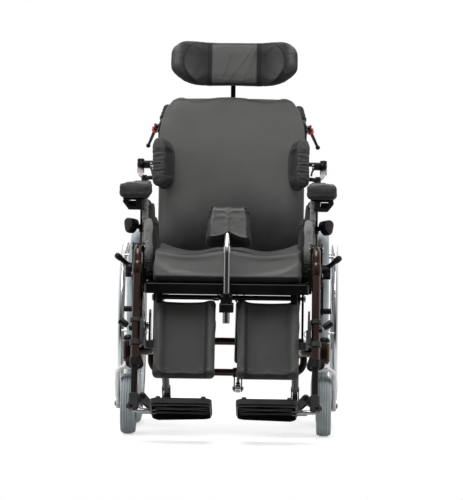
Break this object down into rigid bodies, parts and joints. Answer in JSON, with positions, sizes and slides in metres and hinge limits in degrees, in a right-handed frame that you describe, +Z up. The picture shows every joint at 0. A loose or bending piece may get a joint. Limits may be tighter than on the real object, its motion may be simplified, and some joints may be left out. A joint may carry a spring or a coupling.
{
  "type": "tilt in space wheelchair",
  "caption": "Manual tilt in space wheelchair with reclining padded back, headrest, lateral supports, pommel, padded armrests and elevating legrests.",
  "frame": {"origin": "on the floor, below the middle of the chair's width and length", "axes": "+Z up, -Y towards the footplates, +X to the sitter's left"},
  "size_m": [0.6784, 1.0831, 1.1952],
  "materials": {
    "bronze_tube": "gloss",
    "black_steel": "satin",
    "polished_metal": "polished",
    "upholstery": "satin stretch cover",
    "pad_cover": "satin stretch cover",
    "arm_pad_cover": "fine grain, satin",
    "black_rubber": "matt",
    "black_plastic": "satin",
    "red_plastic": "gloss",
    "taupe_alloy": "satin",
    "cast_grey": "satin, fine cast texture",
    "silver_paint": "satin",
    "grey_rubber": "matt"
  },
  "bodies": {
    "base": {"base_frame": "bronze_tube", "strut_bracket": "bronze_tube"},
    "seat": {"seat_frame": "black_steel", "seat_cushion": "upholstery", "left_thigh_pad": "pad_cover", "right_thigh_pad": "pad_cover"},
    "back": {"back_frame": "black_steel", "back_cushion": "upholstery", "left_push_grip": "black_rubber", "right_push_grip": "black_rubber"},
    "pommel": {"pommel_stem": "polished_metal", "pommel_pad": "pad_cover"},
    "headrest_mast": {"headrest_stem": "black_steel"},
    "headrest": {"headrest_pad": "upholstery"},
    "tilt_strut_cylinder": {"tilt_strut_cylinder": "black_steel"},
    "tilt_strut_rod": {"tilt_strut_rod": "polished_metal"},
    "recline_strut_cylinder": {"recline_strut_cylinder": "black_steel"},
    "recline_strut_rod": {"recline_strut_rod": "polished_metal"},
    "left_drive_wheel": {"left_rear_wheel": "polished_metal", "left_rear_tyre": "grey_rubber", "left_handrim": "polished_metal"},
    "left_caster_swivel": {"left_caster_fork": "silver_paint"},
    "left_caster_roller": {"left_caster_wheel": "grey_rubber"},
    "left_lock_lever": {"left_wheel_lock_lever": "black_plastic"},
    "left_lock_shoe": {"left_wheel_lock_shoe": "black_plastic"},
    "left_anti_tipper": {"left_anti_tip_arm": "black_steel"},
    "left_anti_tip_roller": {"left_anti_tip_wheel": "black_rubber"},
    "left_armrest": {"left_armrest_frame": "black_steel", "left_arm_pad": "arm_pad_cover", "left_side_guard": "pad_cover"},
    "left_lateral_support": {"left_lateral_arm": "taupe_alloy", "left_lateral_pad": "pad_cover"},
    "left_release": {"left_release_lever": "black_plastic"},
    "left_safety_catch": {"left_release_catch": "red_plastic"},
    "left_legrest": {"left_leg_hanger": "bronze_tube"},
    "left_calf_carrier": {"left_calf_bracket": "cast_grey"},
    "left_calf_rest": {"left_calf_pad": "upholstery"},
    "left_leg_extension": {"left_leg_tube": "black_steel"},
    "left_foot_support": {"left_footplate": "cast_grey"},
    "right_drive_wheel": {"right_rear_wheel": "polished_metal", "right_rear_tyre": "grey_rubber", "right_handrim": "polished_metal"},
    "right_caster_swivel": {"right_caster_fork": "silver_paint"},
    "right_caster_roller": {"right_caster_wheel": "grey_rubber"},
    "right_lock_lever": {"right_wheel_lock_lever": "black_plastic"},
    "right_lock_shoe": {"right_wheel_lock_shoe": "black_plastic"},
    "right_anti_tipper": {"right_anti_tip_arm": "black_steel"},
    "right_anti_tip_roller": {"right_anti_tip_wheel": "black_rubber"},
    "right_armrest": {"right_armrest_frame": "black_steel", "right_arm_pad": "arm_pad_cover", "right_side_guard": "pad_cover"},
    "right_lateral_support": {"right_lateral_arm": "taupe_alloy", "right_lateral_pad": "pad_cover"},
    "right_release": {"right_release_lever": "black_plastic"},
    "right_safety_catch": {"right_release_catch": "red_plastic"},
    "right_legrest": {"right_leg_hanger": "bronze_tube"},
    "right_calf_carrier": {"right_calf_bracket": "cast_grey"},
    "right_calf_rest": {"right_calf_pad": "upholstery"},
    "right_leg_extension": {"right_leg_tube": "black_steel"},
    "right_foot_support": {"right_footplate": "cast_grey"}
  },
  "joints": [
    {"name": "seat_tilt", "type": "hinge", "parent": "base", "child": "seat", "pos_m": [0, 0.03, 0.4], "axis": [-1, 0, 0], "range_deg": [0, 25]},
    {"name": "back_recline", "type": "hinge", "parent": "seat", "child": "back", "pos_m": [0, 0.215, 0.48], "axis": [-1, 0, 0], "range_deg": [0, 35]},
    {"name": "pommel_slide", "type": "slide", "parent": "seat", "child": "pommel", "axis": [0, 0, 1], "range_m": [0, 0.06]},
    {"name": "headrest_slide", "type": "slide", "parent": "back", "child": "headrest_mast", "axis": [0, 0.1564, 0.9877], "range_m": [-0.03, 0.06]},
    {"name": "headrest_tilt", "type": "hinge", "parent": "headrest_mast", "child": "headrest", "pos_m": [0, 0.29828, 1.12086], "axis": [1, 0, 0], "range_deg": [-20, 20]},
    {"name": "tilt_strut_swing", "type": "hinge", "parent": "seat", "child": "tilt_strut_cylinder", "pos_m": [0.033, 0.16, 0.388], "axis": [1, 0, 0], "range_deg": [0, 20.6]},
    {"name": "tilt_strut_slide", "type": "slide", "parent": "tilt_strut_cylinder", "child": "tilt_strut_rod", "axis": [0, -0.6669, -0.7452], "range_m": [-0.0507, 0]},
    {"name": "recline_strut_swing", "type": "hinge", "parent": "seat", "child": "recline_strut_cylinder", "pos_m": [-0.026, 0.275, 0.392], "axis": [-1, 0, 0], "range_deg": [0, 26.6]},
    {"name": "recline_strut_slide", "type": "slide", "parent": "recline_strut_cylinder", "child": "recline_strut_rod", "axis": [0, 0.1038, 0.9946], "range_m": [-0.0517, 0]},
    {"name": "left_wheel_spin", "type": "hinge", "parent": "base", "child": "left_drive_wheel", "pos_m": [0.288, 0.18, 0.30308], "axis": [1, 0, 0], "continuous": true},
    {"name": "left_caster_turn", "type": "hinge", "parent": "base", "child": "left_caster_swivel", "pos_m": [0.293, -0.24, 0], "axis": [0, 0, 1], "continuous": true},
    {"name": "left_caster_spin", "type": "hinge", "parent": "left_caster_swivel", "child": "left_caster_roller", "pos_m": [0.293, -0.19, 0.09164], "axis": [1, 0, 0], "continuous": true},
    {"name": "left_lock_lever_push", "type": "hinge", "parent": "base", "child": "left_lock_lever", "pos_m": [0.292, -0.105, 0.492], "axis": [1, 0, 0], "range_deg": [0, 50]},
    {"name": "left_lock_shoe_swing", "type": "hinge", "parent": "base", "child": "left_lock_shoe", "pos_m": [0.29, -0.145, 0.45], "axis": [1, 0, 0], "range_deg": [0, 10]},
    {"name": "left_anti_tip_slide", "type": "slide", "parent": "base", "child": "left_anti_tipper", "axis": [0, 0.866, -0.5], "range_m": [-0.03, 0.02]},
    {"name": "left_anti_tip_spin", "type": "hinge", "parent": "left_anti_tipper", "child": "left_anti_tip_roller", "pos_m": [0.206, 0.51, 0.047], "axis": [1, 0, 0], "continuous": true},
    {"name": "left_armrest_height", "type": "slide", "parent": "seat", "child": "left_armrest", "axis": [0, 0, 1], "range_m": [0, 0.05]},
    {"name": "left_lateral_swing", "type": "hinge", "parent": "back", "child": "left_lateral_support", "pos_m": [0.286, 0.27566, 0.78628], "axis": [0, 0.1564, 0.9877], "range_deg": [0, 90]},
    {"name": "left_release_squeeze", "type": "hinge", "parent": "back", "child": "left_release", "pos_m": [0.239, 0.29922, 0.92227], "axis": [1, 0, 0], "range_deg": [0, 20], "stiffness_Nm_per_rad": 2, "springref_deg": -5.73},
    {"name": "left_catch_turn", "type": "hinge", "parent": "left_release", "child": "left_safety_catch", "pos_m": [0.239, 0.29922, 0.92227], "axis": [0.2033, 0.7784, -0.5939], "range_deg": [0, 25]},
    {"name": "left_leg_elevate", "type": "hinge", "parent": "seat", "child": "left_legrest", "pos_m": [0.265, -0.245, 0.562], "axis": [-1, 0, 0], "range_deg": [0, 60]},
    {"name": "left_calf_height", "type": "slide", "parent": "left_legrest", "child": "left_calf_carrier", "axis": [0, 0.342, 0.9397], "range_m": [-0.03, 0]},
    {"name": "left_calf_pivot", "type": "hinge", "parent": "left_calf_carrier", "child": "left_calf_rest", "pos_m": [0.265, -0.25696, 0.27477], "axis": [1, 0, 0], "range_deg": [-3, 8]},
    {"name": "left_leg_length", "type": "slide", "parent": "left_legrest", "child": "left_leg_extension", "axis": [0, 0.342, 0.9397], "range_m": [-0.06, 0.03]},
    {"name": "left_footplate_flip", "type": "hinge", "parent": "left_leg_extension", "child": "left_foot_support", "pos_m": [0.238, -0.44975, 0.13104], "axis": [0, 0.9397, -0.342], "range_deg": [0, 85]},
    {"name": "right_wheel_spin", "type": "hinge", "parent": "base", "child": "right_drive_wheel", "pos_m": [-0.288, 0.18, 0.30308], "axis": [1, 0, 0], "continuous": true},
    {"name": "right_caster_turn", "type": "hinge", "parent": "base", "child": "right_caster_swivel", "pos_m": [-0.293, -0.24, 0], "axis": [0, 0, 1], "continuous": true},
    {"name": "right_caster_spin", "type": "hinge", "parent": "right_caster_swivel", "child": "right_caster_roller", "pos_m": [-0.293, -0.19, 0.09164], "axis": [1, 0, 0], "continuous": true},
    {"name": "right_lock_lever_push", "type": "hinge", "parent": "base", "child": "right_lock_lever", "pos_m": [-0.292, -0.105, 0.492], "axis": [1, 0, 0], "range_deg": [0, 50]},
    {"name": "right_lock_shoe_swing", "type": "hinge", "parent": "base", "child": "right_lock_shoe", "pos_m": [-0.29, -0.145, 0.45], "axis": [1, 0, 0], "range_deg": [0, 10]},
    {"name": "right_anti_tip_slide", "type": "slide", "parent": "base", "child": "right_anti_tipper", "axis": [0, 0.866, -0.5], "range_m": [-0.03, 0.02]},
    {"name": "right_anti_tip_spin", "type": "hinge", "parent": "right_anti_tipper", "child": "right_anti_tip_roller", "pos_m": [-0.206, 0.51, 0.047], "axis": [1, 0, 0], "continuous": true},
    {"name": "right_armrest_height", "type": "slide", "parent": "seat", "child": "right_armrest", "axis": [0, 0, 1], "range_m": [0, 0.05]},
    {"name": "right_lateral_swing", "type": "hinge", "parent": "back", "child": "right_lateral_support", "pos_m": [-0.286, 0.27566, 0.78628], "axis": [0, -0.1564, -0.9877], "range_deg": [0, 90]},
    {"name": "right_release_squeeze", "type": "hinge", "parent": "back", "child": "right_release", "pos_m": [-0.239, 0.29922, 0.92227], "axis": [1, 0, 0], "range_deg": [0, 20], "stiffness_Nm_per_rad": 2, "springref_deg": -5.73},
    {"name": "right_catch_turn", "type": "hinge", "parent": "right_release", "child": "right_safety_catch", "pos_m": [-0.239, 0.29922, 0.92227], "axis": [-0.2033, 0.7784, -0.5939], "range_deg": [0, 25]},
    {"name": "right_leg_elevate", "type": "hinge", "parent": "seat", "child": "right_legrest", "pos_m": [-0.265, -0.245, 0.562], "axis": [-1, 0, 0], "range_deg": [0, 60]},
    {"name": "right_calf_height", "type": "slide", "parent": "right_legrest", "child": "right_calf_carrier", "axis": [0, 0.342, 0.9397], "range_m": [-0.03, 0]},
    {"name": "right_calf_pivot", "type": "hinge", "parent": "right_calf_carrier", "child": "right_calf_rest", "pos_m": [-0.265, -0.25696, 0.27477], "axis": [1, 0, 0], "range_deg": [-3, 8]},
    {"name": "right_leg_length", "type": "slide", "parent": "right_legrest", "child": "right_leg_extension", "axis": [0, 0.342, 0.9397], "range_m": [-0.06, 0.03]},
    {"name": "right_footplate_flip", "type": "hinge", "parent": "right_leg_extension", "child": "right_foot_support", "pos_m": [-0.238, -0.44975, 0.13104], "axis": [0, -0.9397, 0.342], "range_deg": [0, 85]}
  ],
  "couplings": [
    {"joint": "tilt_strut_swing", "follows": "seat_tilt", "ratio": 0.81217},
    {"joint": "tilt_strut_slide", "follows": "seat_tilt", "m_per_rad": -0.11388},
    {"joint": "recline_strut_swing", "follows": "back_recline", "ratio": 0.74579},
    {"joint": "recline_strut_slide", "follows": "back_recline", "m_per_rad": -0.082404},
    {"joint": "left_lock_shoe_swing", "follows": "left_lock_lever_push", "ratio": 0.2},
    {"joint": "right_lock_shoe_swing", "follows": "right_lock_lever_push", "ratio": 0.2}
  ]
}
